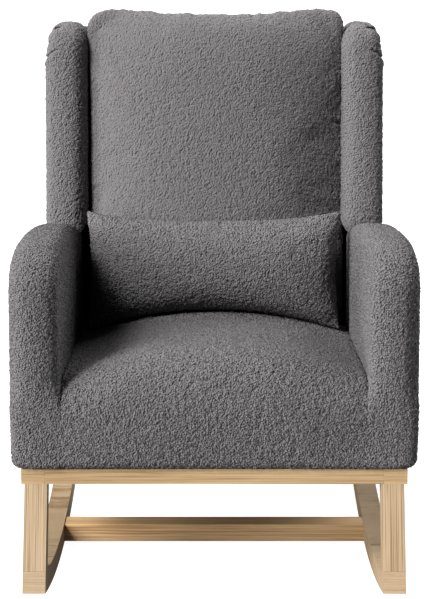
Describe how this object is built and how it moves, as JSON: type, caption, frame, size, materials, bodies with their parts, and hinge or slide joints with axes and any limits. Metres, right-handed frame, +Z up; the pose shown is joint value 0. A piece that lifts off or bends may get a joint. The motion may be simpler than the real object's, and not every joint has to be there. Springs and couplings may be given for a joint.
{
  "type": "rocking chair",
  "caption": "Upholstered wing-back rocking chair with padded arms, back cushion, loose lumbar pillow and an oak base on curved rockers.",
  "frame": {"origin": "on the floor, at the centre of the chair's overall box, with the chair standing level at its balance", "axes": "+X to the right as seen from the front, -Y out of the front of the seat, +Z up"},
  "size_m": [0.7, 0.9084, 0.993],
  "materials": {
    "boucle": "curly boucle pile, matt",
    "oak": "light oak, satin lacquer",
    "frame_wood": "unfinished hardwood and board",
    "beech": "unfinished",
    "dust_cloth": "non-woven, matt",
    "felt": "pressed fibre felt",
    "webbing": "woven elastic",
    "spring_steel": "drawn wire",
    "zinc_steel": "bright zinc"
  },
  "bodies": {
    "chair": {"arm_frame_left": "frame_wood", "arm_frame_right": "frame_wood", "arm_pad_left": "boucle", "arm_pad_right": "boucle", "back_cushion": "boucle", "back_lower_rail": "frame_wood", "back_post_left": "frame_wood", "back_post_right": "frame_wood", "back_top_rail": "frame_wood", "back_webbing": "webbing", "body_bolts": "zinc_steel", "bolt_washers": "zinc_steel", "dust_cover": "dust_cloth", "front_leg_left": "oak", "front_leg_right": "oak", "front_rail": "oak", "insert_nuts": "zinc_steel", "inside_back_pad": "boucle", "leg_dowels": "beech", "outside_back": "boucle", "rail_dowels": "beech", "rear_leg_left": "oak", "rear_leg_right": "oak", "rear_rail": "oak", "rocker_dowels": "beech", "rocker_left": "oak", "rocker_right": "oak", "seat_corner_blocks": "frame_wood", "seat_cross_rail": "frame_wood", "seat_cushion": "boucle", "seat_front_rail": "frame_wood", "seat_rear_rail": "frame_wood", "seat_side_rail_left": "frame_wood", "seat_side_rail_right": "frame_wood", "seat_springs": "spring_steel", "side_rail_left": "oak", "side_rail_right": "oak", "spring_clips": "zinc_steel", "spring_felt": "felt", "stretcher": "oak", "stretcher_dowels": "beech", "wing_pad_left": "boucle", "wing_pad_right": "boucle", "wing_panel_left": "frame_wood", "wing_panel_right": "frame_wood"},
    "pillow": {"lumbar_pillow": "boucle"}
  },
  "joints": [
    {"name": "lumbar_pillow_lift", "type": "slide", "parent": "chair", "child": "pillow", "axis": [0, 0, 1], "range_m": [0, 0.3]}
  ]
}
